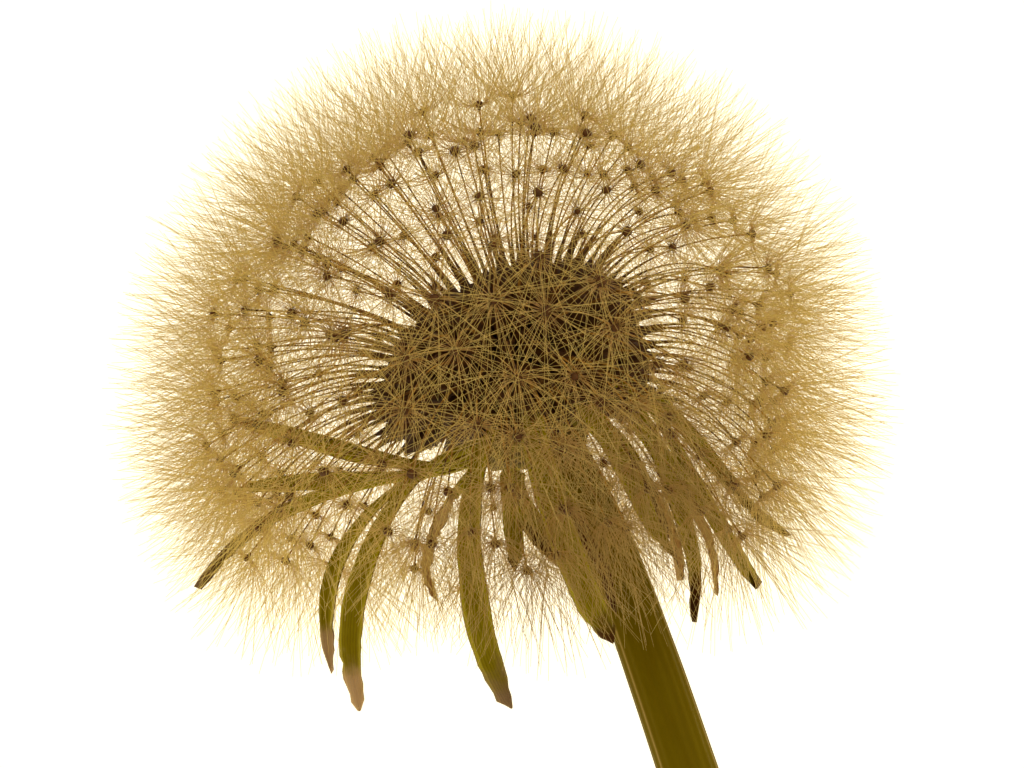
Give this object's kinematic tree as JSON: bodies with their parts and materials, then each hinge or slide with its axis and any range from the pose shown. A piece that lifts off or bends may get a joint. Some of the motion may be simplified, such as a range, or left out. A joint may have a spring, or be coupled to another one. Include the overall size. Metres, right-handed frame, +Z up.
{
  "type": "dandelion seed head",
  "caption": "Ripe dandelion head with its globe of parachute seeds, reflexed bracts and hollow cut stem, lying on a surface.",
  "frame": {"origin": "on the surface that it lies on, under the middle of the whole object's box", "axes": "+X from the stem's cut end towards the globe of seeds, +Z up, away from the surface"},
  "size_m": [0.1223, 0.0464, 0.044],
  "materials": {
    "stem": "smooth, waxy olive green, slightly translucent",
    "receptacle": "smooth golden olive",
    "seeds": "fine silky cream bristles on thin brown beaks and ribbed brown achenes",
    "inner_bracts": "leafy olive green with pale margins and dry brown tips",
    "outer_bracts": "dry, dark olive to red brown, curled"
  },
  "bodies": {
    "root": {"stem": "stem", "receptacle": "receptacle", "seed_head": "seeds", "inner_bract_01": "inner_bracts", "inner_bract_02": "inner_bracts", "inner_bract_03": "inner_bracts", "inner_bract_04": "inner_bracts", "inner_bract_05": "inner_bracts", "inner_bract_06": "inner_bracts", "inner_bract_07": "inner_bracts", "inner_bract_08": "inner_bracts", "inner_bract_09": "inner_bracts", "inner_bract_10": "inner_bracts", "inner_bract_11": "inner_bracts", "inner_bract_12": "inner_bracts", "inner_bract_13": "inner_bracts", "inner_bract_14": "inner_bracts", "inner_bract_15": "inner_bracts", "inner_bract_16": "inner_bracts", "outer_bract_01": "outer_bracts", "outer_bract_02": "outer_bracts", "outer_bract_03": "outer_bracts", "outer_bract_04": "outer_bracts", "outer_bract_05": "outer_bracts", "outer_bract_06": "outer_bracts"}
  },
  "joints": []
}
